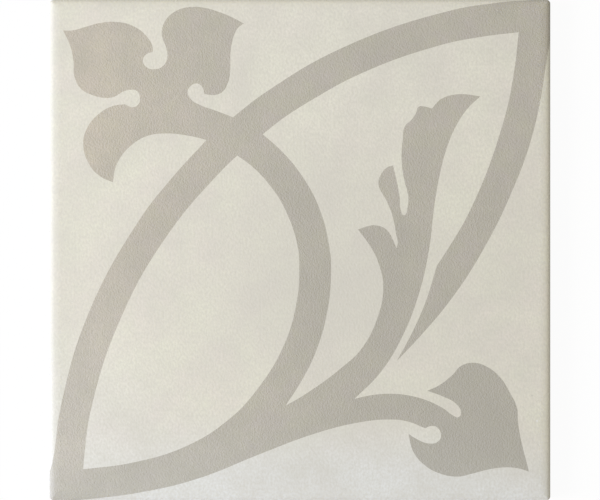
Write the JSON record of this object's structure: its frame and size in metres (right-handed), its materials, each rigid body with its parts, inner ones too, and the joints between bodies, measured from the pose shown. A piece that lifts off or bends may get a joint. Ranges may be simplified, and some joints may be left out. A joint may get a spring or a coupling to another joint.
{
  "type": "floor tile",
  "caption": "Square glazed porcelain floor tile with a cushioned edge, a printed foliate scroll on its face and a waffle-keyed back for adhesive.",
  "frame": {"origin": "middle of the keyed back, in the plane of its ribs, which is the plane the tile is bedded on", "axes": "+Z out of the glazed face, +X and +Y along the edges of the tile, with +Y towards the edge that is at the top of the picture"},
  "size_m": [0.2, 0.2, 0.009],
  "materials": {
    "glazed_porcelain": "satin"
  },
  "bodies": {
    "root": {"floor_tile": "glazed_porcelain"}
  },
  "joints": []
}
